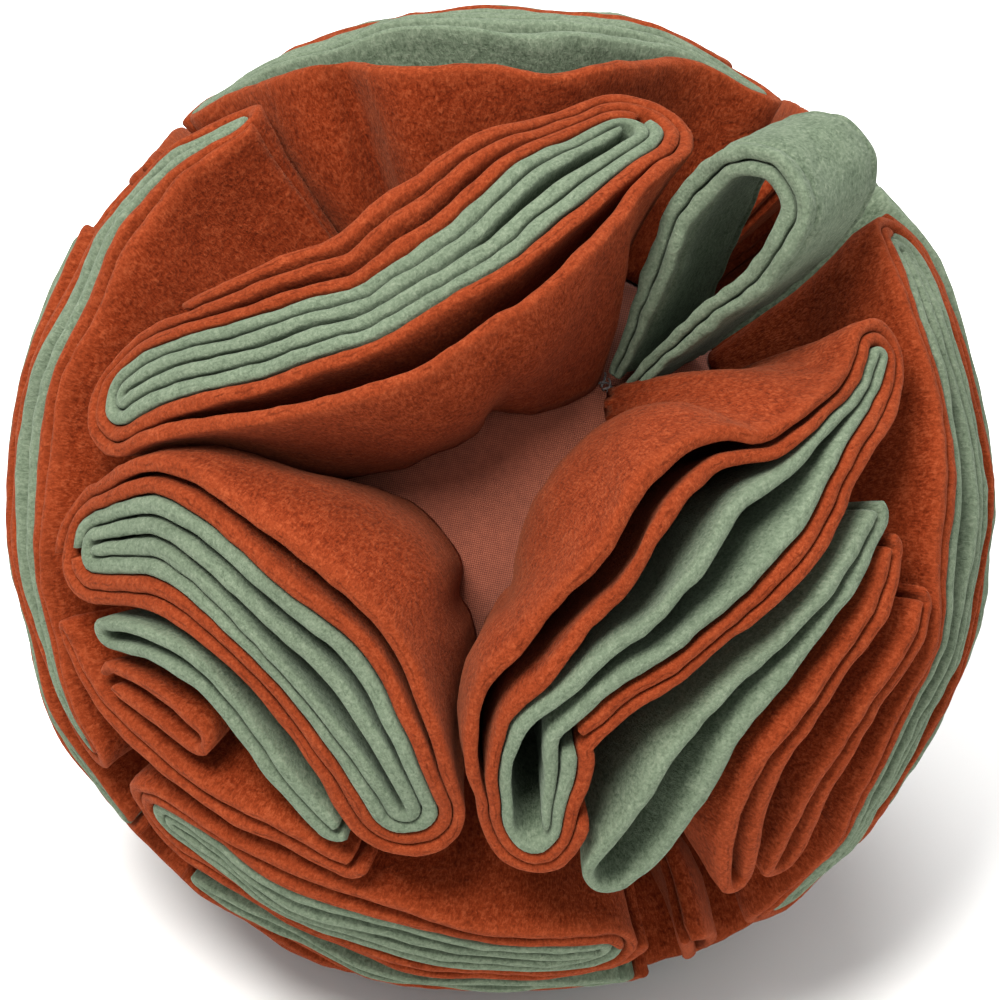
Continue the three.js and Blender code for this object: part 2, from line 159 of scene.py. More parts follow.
# The stage, in metres and watts
FLOOR_SIZE = 6.0
WORLD_STRENGTH = 0.7
LIGHTS = [  # name, place, size, power, colour
    ("key", (-0.35, -0.62, 1.38), 0.7, 44.0, (1.0, 0.985, 0.96)),
    ("fill", (0.9, -0.9, 0.6), 1.0, 3.0, (1, 1, 1)),
    ("top", (0.1, 0.45, 1.35), 0.9, 14.0, (1, 1, 1)),
]
CAMERA_DISTANCE = 1.3
CAMERA_SENSOR = 36.0
BALL_SHARE = 0.4957  # the ball's radius as a share of the picture's width

# Swells and creases of single strips: turn, side, place along the nest, width, and how far they
# push out at the rim, half way down and at the root
FOLDS = {
    "front_upper": [(3, "left", 0.45, 0.45, 0, 4.0, 0), (3, "left", 0.40, 0.05, 0, -1.5, -3.5)],
    "front_lower": [(3, "left", 0.5, 0.4, 0, 3.5, 0), (3, "left", 0.72, 0.06, 0, -1.2, -2.5)],
    "front_right": [
        (2, "left", 0.55, 0.4, 0, 3.5, 0), (2, "left", 0.35, 0.07, 0, -1.0, -2.0),
        (2, "left", 0.92, 0.09, 0, 9.0, 18.0),
    ],
    "top_band": [
        (2, "right", 0.42, 0.4, 0, 4.0, 0), (2, "right", 0.8, 0.07, 1.5, 2.0, 0),
        (2, "right", 0.17, 0.08, 4.0, 8.0, 5), (2, "right", 0.27, 0.03, -5.0, -7.0, -5),
        (2, "right", 0.35, 0.05, 2.0, 4.0, 2), (1, "right", 0.45, 0.35, 7.0, 5.0, 2),
    ],
    "left_band": [(2, "right", 0.6, 0.4, 0, 3.0, 0)],
}


def nest(name, spine, strips, bows):
    """Spine rows are turn, tilt and half width; strips are colour, from and to; bows are turn, side,
    place along the nest, how wide they open at the rim and at the root, and how steeply."""
    return {"name": name, "spine": spine, "strips": strips, "bows": bows}


NESTS = [
    nest(
        "front_upper",
        [(71, 50, 2.4), (79, 39, 2.2), (96, 31, 1.7), (117, 28, 1.6), (139, 30, 1.6),
         (157, 37, 1.5), (166, 47, 1.5)],
        [("sage", 0, 1.98), ("rust", 2.0, 4.36)],
        [
            (3, "left", 0.45, 5, 0, 1),
            (3, "left", 0.6, 0, 8, 1),
            (3, "left", 0.14, 0, 15, 5),
            (3, "right", 0.5, 1.8, 1.8, 1),
            (4, "right", 0.5, 1.2, 1.2, 1),
        ],
    ),
    nest(
        "front_lower",
        [(186, 52, 1.5), (187, 43, 1.6), (195, 35, 1.9), (210, 29, 2.5), (229, 29, 2.8),
         (243, 33, 2.2), (251, 39, 1.8)],
        [("sage", 0, 1.98), ("rust", 2.0, 3.98)],
        [(1, "left", 0.6, 1.5, 1.5, 1), (3, "left", 0.5, 1.8, 9, 1)],
    ),
    nest(
        "lower_middle",
        [(242, 45.5, 1.5), (235, 43.5, 1.5), (223, 41.5, 1.5), (210, 42.5, 1.8), (202, 47.5, 2.2),
         (199, 53, 2.6)],
        [("sage", 0, 1.0)],
        [],
    ),
    nest(
        "lower_curl",
        [(206, 55.5, 2.4), (211, 52, 3.0), (217, 49, 3.0)],
        [("rust", 0, 0.97)],
        [],
    ),
    nest(
        "lower_leaf",
        [(247, 50.5, 1.5), (237, 50.5, 2.0), (227, 53, 1.8), (217, 57, 1.5), (207, 60.5, 1.5),
         (197, 62, 1.5)],
        [("rust", 0, 1.0)],
        [],
    ),
    nest(
        "front_right",
        [(275.5, 37.5, 5.0), (277.5, 33, 5.0), (282, 28, 2.6), (292, 25.5, 1.5), (311, 23, 1.5),
         (334, 24, 1.8), (352, 30, 2.4), (1, 37, 2.0), (13, 45.5, 1.6), (23, 53, 1.4)],
        [("sage", 0, 1.12), ("rust", 1.15, 3.05)],
        [
            (0, "left", 0.66, 4.5, 0, 1.5),
            (1, "left", 0.6, 6, 3, 2.5),
            (2, "left", 0.3, 3.5, 0, 1),
            (2, "left", 0.8, 0, 20, 1),
            (1, "right", 0.5, 1, 1, 1),
        ],
    ),
    nest(
        "right_middle",
        [(354, 48, 1.6), (343, 42, 2.2), (328, 38.3, 3.0), (312, 38.8, 4.0), (297, 44.5, 5.0),
         (289, 48, 5.0)],
        [("sage", 0, 1.0)],
        [],
    ),
    nest(
        "right_leaf_inner",
        [(349.5, 51, 1.5), (337, 48.5, 1.6), (328, 46.8, 1.8), (320, 46.5, 2.2), (313, 48.5, 2.4),
         (307, 53, 2.6), (303, 60, 2.4)],
        [("rust", 0, 1.0)],
        [],
    ),
    nest(
        "right_leaf_outer",
        [(344, 57, 1.5), (330, 57, 1.8), (315, 60, 2.2), (308, 64, 2.6)],
        [("rust", 0, 1.0)],
        [],
    ),
    nest(
        "top_band",
        [(124, 84, 1.5), (111, 79.5, 1.8), (97, 76.5, 2.0), (84, 76, 2.0), (71, 77, 1.8),
         (59, 79, 1.5)],
        [("sage", 0, 1.98), ("rust", 2.0, 2.98)],
        [(2, "right", 0.42, 22, 16, 1)],
    ),
    nest(
        "left_band",
        [(211, 72, 1.5), (200, 73, 2.6), (187, 74, 3.4), (173, 74, 3.4), (158, 73, 3.0),
         (144, 70.5, 2.0), (134, 69, 1.8), (124, 67.5, 1.5)],
        [("sage", 0, 0.98), ("rust", 1.0, 2.42)],
        [(1, "right", 0.5, 2, 2, 1), (2, "right", 0.6, 4, 5, 1)],
    ),
    nest(
        "bottom_band",
        [(281, 68, 1.5), (270, 66, 1.6), (259, 64, 1.8), (247, 63, 1.8), (235, 64, 1.6),
         (225, 67, 1.5)],
        [("sage", 0, 1.98), ("rust", 2.0, 3.98)],
        [(1, "right", 0.5, 1.2, 1.2, 1), (3, "right", 0.5, 1.5, 1.5, 1)],
    ),
    nest(
        "right_band",
        [(29, 75, 1.5), (19, 71, 1.6), (6, 70, 1.8), (351, 70, 1.8), (336, 72, 1.8),
         (320, 76, 1.6), (306, 81, 1.5)],
        [("sage", 0, 1.98), ("rust", 2.0, 3.98)],
        [(1, "right", 0.45, 5, 4, 1), (2, "left", 0.5, 6, 6, 1)],
    ),
    nest(
        "top_outer",
        [(119, 95, 1.5), (106, 92, 1.8), (92, 89.5, 2.0), (78, 89, 1.8), (64, 89, 1.5)],
        [("sage", 0, 0.98), ("rust", 1.0, 1.98)],
        [],
    ),
    nest(
        "left_outer",
        [(219, 84, 1.5), (206, 86, 1.8), (192, 87, 2.0), (178, 87, 2.0), (164, 86, 1.8),
         (150, 85, 1.5)],
        [("sage", 0, 0.98), ("rust", 1.0, 1.98)],
        [],
    ),
    nest(
        "right_outer",
        [(38, 88, 1.5), (24, 88, 1.8), (10, 88, 2.0), (355, 88, 2.0), (340, 89, 1.8),
         (326, 90, 1.5)],
        [("sage", 0, 1.98)],
        [],
    ),
    nest(
        "bottom_outer",
        [(283, 81, 2.0), (271, 79, 3.0), (258, 78, 3.4), (245, 78, 3.0), (233, 79, 2.0)],
        [("sage", 0, 0.98), ("rust", 1.5, 1.98)],
        [],
    ),
    nest(
        "bottom_corner",
        [(294, 73, 1.8), (293.5, 82, 2.2), (293, 92, 1.8)],
        [("rust", 0, 0.97)],
        [],
    ),
    nest(
        "back_top",
        [(122, 107, 1.5), (108, 105, 2.0), (93, 103, 2.4), (78, 102, 2.0), (64, 101, 1.5)],
        [("sage", 0, 0.98), ("rust", 1.0, 2.98)],
        [(2, "right", 0.5, 3, 3, 1), (2, "left", 0.4, 4, 4, 1)],
    ),
    nest(
        "back_right",
        [(42, 99, 1.5), (26, 101, 2.0), (10, 102, 2.4), (354, 102, 2.0), (338, 102, 1.5)],
        [("sage", 0, 0.98), ("rust", 1.0, 2.98)],
        [(2, "right", 0.4, 3, 3, 1), (2, "left", 0.5, 4, 4, 1)],
    ),
    nest(
        "underside_right",
        [(322, 106, 1.5), (308, 105, 2.0), (294, 104, 2.4), (280, 101, 2.0), (268, 97, 1.5)],
        [("sage", 0, 0.98), ("rust", 1.0, 2.98)],
        [(2, "right", 0.4, 4, 4, 1)],
    ),
    nest(
        "underside_left",
        [(254, 95, 1.5), (242, 95, 2.0), (230, 96, 2.4), (218, 97, 2.0), (206, 99, 1.5)],
        [("sage", 0, 0.98), ("rust", 1.0, 2.98)],
        [(2, "left", 0.6, 4, 4, 1)],
    ),
    nest(
        "back_left",
        [(190, 100, 1.5), (178, 101, 2.0), (165, 102, 2.4), (152, 101, 2.0), (141, 100, 1.5)],
        [("sage", 0, 0.98), ("rust", 1.0, 2.98)],
        [(2, "right", 0.6, 3, 3, 1), (2, "left", 0.4, 5, 5, 1)],
    ),
    nest(
        "rear_upper",
        [(102, 121, 1.5), (84, 119, 2.0), (66, 119, 2.4), (49, 119, 2.0), (36, 120, 1.5)],
        [("sage", 0, 0.98), ("rust", 1.0, 2.98)],
        [(2, "right", 0.4, 5, 5, 1), (2, "left", 0.6, 5, 5, 1)],
    ),
    nest(
        "rear_right",
        [(9, 122, 1.5), (354, 122, 2.0), (338, 123, 2.4), (320, 124, 2.0), (306, 126, 1.5)],
        [("sage", 0, 0.98), ("rust", 1.0, 2.98)],
        [(2, "right", 0.5, 5, 5, 1), (2, "left", 0.4, 5, 5, 1)],
    ),
    nest(
        "foot",
        [(288, 126, 1.5), (276, 125, 1.6), (264, 124, 1.6), (252, 122, 1.6), (240, 121, 1.6),
         (228, 121, 1.5)],
        [("sage", 0, 1.98), ("rust", 2.0, 3.98)],
        [
            (2, "right", 0.4, 4, 4, 1),
            (2, "left", 0.4, 4, 4, 1),
            (3, "right", 0.5, 3, 3, 1),
            (3, "left", 0.4, 4, 4, 1),
        ],
    ),
    nest(
        "rear_left",
        [(206, 121, 1.5), (186, 122, 2.0), (166, 123, 2.4), (146, 122, 2.0), (124, 122, 1.5)],
        [("sage", 0, 0.98), ("rust", 1.0, 2.98)],
        [(2, "right", 0.5, 5, 5, 1), (2, "left", 0.4, 5, 5, 1)],
    ),
    nest(
        "upper_left_corner",
        [(137, 79, 1.6), (133, 90, 2.2), (131, 101, 2.2), (130, 110, 1.6)],
        [("rust", 0, 0.97)],
        [],
    ),
    nest(
        "upper_right_corner",
        [(49, 80, 1.6), (51, 90, 2.2), (52, 99, 2.2), (52, 107, 1.6)],
        [("rust", 0, 0.97)],
        [],
    ),
    nest(
        "rear_right_corner",
        [(24, 112, 1.5), (23, 120, 1.6), (22, 129, 1.5)],
        [("sage", 0, 0.97)],
        [],
    ),
    nest(
        "rear_left_corner",
        [(113, 116, 1.6), (113, 124, 2.4), (115, 132, 1.6)],
        [("sage", 0, 0.97)],
        [],
    ),
    nest(
        "centre_middle",
        [(95, 166, 1.6), (85, 171, 2.6), (0, 177, 3.0), (265, 172, 2.6), (250, 167, 1.6)],
        [("sage", 0, 0.98), ("rust", 1.0, 1.98)],
        [(1, "left", 0.5, 4, 2, 1), (1, "right", 0.5, 3, 2, 1)],
    ),
    nest(
        "centre_upper",
        [(10, 137, 1.5), (22, 146, 1.8), (45, 152, 2.4), (70, 152, 2.4), (90, 146, 1.8),
         (100, 138, 1.5)],
        [("sage", 0, 1.98), ("rust", 2.0, 3.98)],
        [(2, "left", 0.5, 3, 3, 1)],
    ),
    nest(
        "centre_left",
        [(130, 138, 1.5), (142, 146, 1.8), (165, 152, 2.4), (190, 152, 2.4), (209, 146, 1.8),
         (220, 140, 1.5)],
        [("sage", 0, 1.98), ("rust", 2.0, 3.98)],
        [(2, "left", 0.4, 3, 3, 1)],
    ),
    nest(
        "centre_right",
        [(249, 142, 1.5), (262, 149, 1.8), (285, 154, 2.4), (308, 152, 2.4), (327, 146, 1.8),
         (337, 140, 1.5)],
        [("sage", 0, 1.98), ("rust", 2.0, 3.98)],
        [(2, "left", 0.6, 3, 3, 1)],
    ),
]


def direction(turn, tilt):
    """The unit direction that lies turn degrees round the front axis and tilt degrees off it."""
    round_, lean = math.radians(turn), math.radians(tilt)
    right = math.sin(lean) * math.cos(round_)
    up = math.sin(lean) * math.sin(round_)
    out = math.cos(lean)
    return np.array([
        right,
        up * math.sin(FRONT_LIFT) - out * math.cos(FRONT_LIFT),
        up * math.cos(FRONT_LIFT) + out * math.sin(FRONT_LIFT),
    ])


def unit(vectors):
    return vectors / np.linalg.norm(vectors, axis=-1, keepdims=True)


def spline(points, t):
    """Points of the centripetal Catmull-Rom curve through the given ones, at shares t of its way."""
    points = np.asarray(points, float)
    last = len(points) - 1
    place = np.clip(t, 0, 1) * last
    piece = np.minimum(np.floor(place).astype(int), last - 1)
    w = (place - piece)[:, None]
    padded = np.vstack([2 * points[0] - points[1], points, 2 * points[-1] - points[-2]])
    p0, p1, p2, p3 = (padded[piece + k] for k in range(4))
    d0, d1, d2 = (
        np.maximum(np.linalg.norm(b - a, axis=1, keepdims=True) ** 0.5, 1e-4)
        for a, b in ((p0, p1), (p1, p2), (p2, p3))
    )
    m1 = ((p1 - p0) / d0 - (p2 - p0) / (d0 + d1) + (p2 - p1) / d1) * d1
    m2 = ((p2 - p1) / d1 - (p3 - p1) / (d1 + d2) + (p3 - p2) / d2) * d1
    return (
        p1
        + m1 * w
        + (-3 * p1 + 3 * p2 - 2 * m1 - m2) * w**2
        + (2 * p1 - 2 * p2 + m1 + m2) * w**3
    )


def smooth_step(low, high, x):
    s = np.clip((x - low) / (high - low), 0, 1)
    return s * s * (3 - 2 * s)


class Waves:
    """A smooth field of three-dimensional shifts, made of a few sine waves in set directions."""

    def __init__(self, seed, length, count=7):
        draw = np.random.default_rng(seed)
        ways = unit(draw.normal(size=(count, 3)))
        lengths = length * draw.uniform(0.75, 1.5, size=(count, 1))
        self.ways = ways * 2 * math.pi / lengths
        self.phases = draw.uniform(0, 2 * math.pi, size=(count, 3))
        self.size = 1 / math.sqrt(count / 2)

    def __call__(self, points):
        angles = points @ self.ways.T
        return np.sin(angles[..., None] + self.phases).sum(axis=-2) * self.size


SAME_TURN = 1e-6
SAME_PLACE = 1e-6
BROAD = Waves(11, 46.0)
MIDDLE = Waves(12, 19.0)
FLUFF = Waves(13, 5.2, 9)
PUCKER = Waves(14, 7.5, 9)
HEIGHT = Waves(15, 21.0)


def nest_path(made):
    """The nest's spine as functions of the share t of its way, and the number of facets of its side."""
    places = [direction(turn, tilt) for turn, tilt, _ in made["spine"]]
    halves = np.array([row[2] for row in made["spine"]])

    def along(t):
        return unit(spline(places, t))

    def ahead(t):
        step = 0.02
        way = spline(places, t + step) - spline(places, t - step)
        here = along(t)
        way -= here * (way * here).sum(axis=1, keepdims=True)
        return unit(way)

    def half(t):
        place = np.clip(t, 0, 1) * (len(halves) - 1)
        piece = np.minimum(place.astype(int), len(halves) - 2)
        w = place - piece
        padded = np.concatenate([[halves[0]], halves, [halves[-1]]])
        p0, p1, p2, p3 = (padded[piece + k] for k in range(4))
        v0, v1 = (p2 - p0) / 2, (p3 - p1) / 2
        return (2 * p1 - 2 * p2 + v0 + v1) * w**3 + (-3 * p1 + 3 * p2 - 2 * v0 - v1) * w**2 + v0 * w + p1

    fine = spline(places, np.linspace(0, 1, 201))
    length = np.linalg.norm(np.diff(fine, axis=0), axis=1).sum() * BALL_RADIUS
    count = max(LEAST_FACETS, round(length / STATION_STEP))
    return along, ahead, half, count


def corners_of_turn(count):
    """How many corners the solid has in one turn of a nest with the given facets on a side."""
    return 2 * (count - 1) + 2 * END_CORNERS


def strip_way(count, first, last):
    """A strip's way round its nest: share of the spine, angle off its right side, turns and bow side."""
    size = corners_of_turn(count)
    whole_end = END_CORNERS - 1
    step = BEND_ANGLE_STEP
    rows = []
    for turn in range(int(last // size) + 2):
        begin = turn * size
        for angle in np.arange(-90, 0, step):
            share = min(1, (angle + 180 - END_CORNER) / STEP_OUT)
            place = min(1, (angle + END_CORNER + END_STEP) / END_STEP)
            rows.append((0, angle, turn - 1 + share, "", begin + place))
        for t in np.linspace(0, 1, FACET_STATIONS * count):
            rows.append((t, 0, turn, "right", begin + 1 + t * count))
        for angle in np.arange(step, 180, step):
            place = min(whole_end, max(0, (angle - END_CORNER) / END_STEP))
            rows.append((1, angle, turn, "", begin + 1 + count + place))
        for t in np.linspace(1, 0, FACET_STATIONS * count):
            rows.append((t, 180, turn, "left", begin + END_CORNERS + count + (1 - t) * count))
        for angle in np.arange(step - 180, -90, step):
            past = max(0, angle + 180 - END_CORNER)
            place = END_CORNERS + 2 * count + past / END_STEP
            rows.append((0, angle, turn + past / STEP_OUT, "", begin + place))
    rows = [row for row in rows if first <= row[4] <= last]
    return {
        "t": np.array([row[0] for row in rows], float),
        "angle": np.radians([row[1] for row in rows]),
        "turns": np.array([row[2] for row in rows], float),
        "side": np.array([row[3] for row in rows]),
    }


def folded(made, where, levels):
    """How far the listed swells and creases push the strip out of its nest, by station and level."""
    out = np.zeros(levels.shape)
    t, v = where["t"], levels
    whole_turns = np.floor(where["turns"] + SAME_TURN)
    for turn, side, at, width, rim, middle, root in FOLDS.get(made["name"], []):
        near = np.exp(-(((t - at) / width) ** 2)) * np.sin(np.clip(t, 0, 1) * math.pi) ** 0.5
        near = np.where((where["side"] == side) & (whole_turns == turn), near, 0)
        profile = root * (1 - v) * (1 - 2 * v) + middle * 4 * v * (1 - v) + rim * v * (2 * v - 1)
        out += near[:, None] * profile
    return out


def opened(made, way, column):
    """How far bows open the strip at each place."""
    out = np.zeros(len(way["t"]))
    for bow in made["bows"]:
        turn, side, at = bow[:3]
        here = (way["side"] == side) & (way["turns"] >= turn - SAME_TURN)
        t = way["t"]
        share = np.where(t < at, t / at, (1 - t) / (1 - at))
        out += np.where(here, bow[column] * np.sin(share * math.pi / 2) ** (2 * bow[5]), 0)
    return out


def strip_lines(made, colour, start, stop):
    """The strip's rim line and root line at evenly spaced stations, and its thickness there."""
    along, ahead, half, count = nest_path(made)
    size = corners_of_turn(count)
    way = strip_way(count, max(1, start * size), stop * size)
    t = way["t"]
    here, on = along(t), ahead(t)
    right = np.cross(on, here)
    out = right * np.cos(way["angle"])[:, None] + on * np.sin(way["angle"])[:, None]
    squeeze = 1 - (1 - END_SQUEEZE) * np.abs(2 * t - 1) ** END_SQUEEZE_POWER
    base = half(t) + way["turns"] * FLEECE_PITCH
    rim_far = (base + opened(made, way, 3)) * squeeze
    root_far = (base + opened(made, way, 4)) * squeeze
    rim = unit(here + out * (rim_far / BALL_RADIUS)[:, None]) * BALL_RADIUS
    root = unit(here + out * (root_far / BALL_RADIUS)[:, None]) * ROOT_RADIUS
    step = np.linalg.norm(np.diff(rim, axis=0), axis=1)
    keep = np.concatenate([[True], step > SAME_PLACE])
    rim, root, rim_far, squeeze = rim[keep], root[keep], rim_far[keep], squeeze[keep]
    step = np.linalg.norm(np.diff(rim, axis=0), axis=1)
    length = np.concatenate([[0], np.cumsum(step)])
    curved = np.where((way["side"][keep] == ""), 1, 0)[:-1]
    least, start_spacing, growth = TIGHT_SPACING
    tight = np.clip(start_spacing + growth * rim_far[:-1], least, STATION_SPACING)
    spacing = np.where(curved, tight, STATION_SPACING)
    density = np.concatenate([[0], np.cumsum(step / spacing)])
    stations = max(LEAST_STATIONS, int(round(density[-1])))
    at = np.interp(np.linspace(0, density[-1], stations + 1), density, length)
    take = lambda values: np.stack([np.interp(at, length, values[:, k]) for k in range(3)], axis=1)
    # never thicker than the room that the innermost bend leaves
    room = np.interp(at, length, np.minimum(RIM_THICKNESS, BEND_ROOM * rim_far))
    room = np.minimum(room, np.interp(at, length, squeeze) * FLEECE_PITCH - RIM_SLACK)
    nearest = np.searchsorted(length, at).clip(0, len(length) - 1)
    where = {key: way[key][keep][nearest] for key in ("t", "turns", "side")}
    return take(rim), take(root), unit(take(out[keep])), room, at, length[-1], where


def soft_section(made, rim, root, out, thickness, at, where, seed):
    """The strip's surface: stations by points round its section, with what the looks need."""
    up = unit(rim - root)
    slope = lambda line: unit(np.gradient(line, axis=0))
    rim_side = unit(np.cross(slope(rim), up))
    root_side = unit(np.cross(slope(root), up))
    draw = np.random.default_rng(seed)
    phases = draw.uniform(0, 2 * math.pi, 3)
    uneven = sum(size * np.sin(at / reach + phase) for (size, reach), phase in zip(CAP_UNEVEN, phases))
    top = 1 - (CAP_DEPTH - uneven / 2) / (BALL_RADIUS - ROOT_RADIUS)
    levels, across, rise = [], [], []
    for v in FACE_LEVELS:
        levels.append(v * top)
        across.append(-1.0)
        rise.append(0.0)
    for angle in CAP_ANGLES:
        levels.append(top)
        across.append(math.cos(angle))
        rise.append(math.sin(angle))
    for v in FACE_LEVELS[::-1]:
        levels.append(v * top)
        across.append(1.0)
        rise.append(0.0)
    levels = np.stack([np.broadcast_to(v, at.shape) for v in levels], axis=1)
    across = np.array(across)
    rise = np.array(rise)
    # the strip is drawn in at its two cut ends
    from_end = np.minimum(at - at[0], at[-1] - at)
    ends = END_DRAWN + (1 - END_DRAWN) * smooth_step(0, END_LENGTH, from_end)
    cap_drawn = CAP_DRAWN + (1 - CAP_DRAWN) * ends
    half = 0.5 * (ROOT_THICKNESS + (thickness[:, None] - ROOT_THICKNESS) * levels) * ends[:, None]
    centre = root[:, None] + (rim - root)[:, None] * levels[..., None]
    side = unit(root_side[:, None] + (rim_side - root_side)[:, None] * levels[..., None])
    points = centre + side * (half * across)[..., None]
    points += out[:, None] * folded(made, where, levels)[..., None]
    points += up[:, None] * (rise * CAP_HEIGHT)[None, :, None] * cap_drawn[:, None, None]
    crest = np.broadcast_to(rise > 0, levels.shape).astype(float)
    return points, {
        "across": np.broadcast_to(across, levels.shape),
        "crest": crest,
        "lift": levels,
        "run": np.broadcast_to(at[:, None], levels.shape),
    }


def weather(points):
    """Shifts points of the fleece: broad waves, middling waves near the rims, and fluff."""
    radius = np.linalg.norm(points, axis=-1, keepdims=True)
    depth = smooth_step(ROOT_RADIUS + ROOT_DEPTH, BALL_RADIUS - RIM_DEPTH, radius)
    outward = points / radius
    free = smooth_step(ROOT_RADIUS, ROOT_RADIUS + FREE_DEPTH, radius)
    sewn = 1 - smooth_step(*(ROOT_RADIUS + depth_here for depth_here in SEWN_DEPTHS), radius)
    broad = BROAD(points) * WARP_SIZE * (WARP_AT_ROOT + (1 - WARP_AT_ROOT) * depth) * free
    sideways = broad + MIDDLE(points) * RIM_WAVE_SIZE * depth + PUCKER(points) * PUCKER_SIZE * sewn
    sideways -= outward * (sideways * outward).sum(axis=-1, keepdims=True)
    height = HEIGHT(points)[..., :1] * HEIGHT_WAVE_SIZE * smooth_step(
        BALL_RADIUS - HEIGHT_DEPTH, BALL_RADIUS, radius
    )
    return points + sideways + outward * height + FLUFF(points) * FLUFF_SIZE


def on_floor(points):
    placed = points + CENTRE
    placed[..., 2] = np.maximum(placed[..., 2], 0.0)
    return placed


def tube_faces(stations, size):
    """Quads of a closed section carried along stations, with both ends zipped shut."""
    i, k = np.meshgrid(np.arange(stations - 1), np.arange(size), indexing="ij")
    nxt = (k + 1) % size
    quads = np.stack([i * size + k, i * size + nxt, (i + 1) * size + nxt, (i + 1) * size + k], axis=-1)
    faces = [tuple(q) for q in quads.reshape(-1, 4).tolist()]
    last = (stations - 1) * size
    for k in range(size // 2):
        a, b, c, d = k, k + 1, size - 2 - k, size - 1 - k
        first_end = [a, b, c, d] if b != c else [a, b, d]
        faces.append(tuple(reversed(first_end)))
        faces.append(tuple(last + n for n in first_end))
        if b >= c - 1:
            break
    return faces


def make_piece(name, points, faces, values, material):
    mesh = bpy.data.meshes.new(name)
    mesh.from_pydata((points.reshape(-1, 3) * MM).tolist(), [], faces)
    mesh.validate()
    for key, data in (values or {}).items():
        layer = mesh.attributes.new(key, "FLOAT", "POINT")
        layer.data.foreach_set("value", np.ascontiguousarray(data, dtype=np.float32).reshape(-1))
    mesh.polygons.foreach_set("use_smooth", [True] * len(mesh.polygons))
    mesh.materials.append(material)
    mesh.update()
    piece = bpy.data.objects.new(name, mesh)
    bpy.context.scene.collection.objects.link(piece)
    return piece


def faces_out(points, faces):
    """The faces, turned round if they enclose their body the wrong way."""
    flat = points.reshape(-1, 3)
    quads = np.array([face if len(face) == 4 else (*face, face[2]) for face in faces])
    a, b, c, d = (flat[quads[:, k]] for k in range(4))
    volume = (a * np.cross(b, c)).sum() + (a * np.cross(c, d)).sum()
    return faces if volume > 0 else [tuple(reversed(face)) for face in faces]


class Nodes:
    """A material's shader nodes, made one by one and fed by values or by other nodes."""

    def __init__(self, name):
        self.material = bpy.data.materials.new(name)
        self.material.use_nodes = True
        self.tree = self.material.node_tree
        self.shader = self.tree.nodes["Principled BSDF"]

    def add(self, kind, inputs=None, **settings):
        node = self.tree.nodes.new(kind)
        for key, value in settings.items():
            setattr(node, key, value)
        for key, value in (inputs or {}).items():
            self.feed(node.inputs[key], value)
        return node

    def feed(self, socket, value):
        if isinstance(value, bpy.types.NodeSocket):
            self.tree.links.new(value, socket)
        else:
            socket.default_value = value

    def math(self, operation, a, b=0.0, clamp=False):
        return self.add("ShaderNodeMath", {0: a, 1: b}, operation=operation, use_clamp=clamp).outputs[0]

    def weighed(self, values, weights):
        """The sum of some values, each times its weight."""
        parts = [self.math("MULTIPLY", value, weight) for value, weight in zip(values, weights)]
        total = parts[0]
        for part in parts[1:]:
            total = self.math("ADD", total, part)
        return total

    def noise(self, where, scale, detail=3.0, roughness=0.55, distortion=0.0):
        settings = {"Vector": where, "Scale": scale, "Detail": detail, "Roughness": roughness}
        node = self.add("ShaderNodeTexNoise", {**settings, "Distortion": distortion})
        return node.outputs["Fac"]

    def ramp(self, value, stops):
        node = self.add("ShaderNodeValToRGB", {"Fac": value})
        ramp = node.color_ramp
        while len(ramp.elements) < len(stops):
            ramp.elements.new(0.5)
        for element, (place, colour) in zip(ramp.elements, stops):
            element.position = place
            element.color = (*colour, 1)
        return node.outputs["Color"]

    def between(self, low, high, value):
        node = self.add("ShaderNodeMapRange", {"Value": value, "From Min": low, "From Max": high})
        node.interpolation_type = "SMOOTHSTEP"
        return node.outputs["Result"]

    def mix(self, factor, a, b, blend="MIX"):
        node = self.add("ShaderNodeMix", data_type="RGBA", blend_type=blend)
        self.feed(node.inputs["Factor"], factor)
        self.feed(node.inputs["A"], a)
        self.feed(node.inputs["B"], b)
        return node.outputs["Result"]

    def value(self, name):
        return self.add("ShaderNodeAttribute", attribute_name=name).outputs["Fac"]

    def object_place(self):
        return self.add("ShaderNodeTexCoord").outputs["Object"]

    def bump(self, height, strength, distance):
        node = self.add("ShaderNodeBump", {"Height": height, "Strength": strength, "Distance": distance})
        return node.outputs["Normal"]


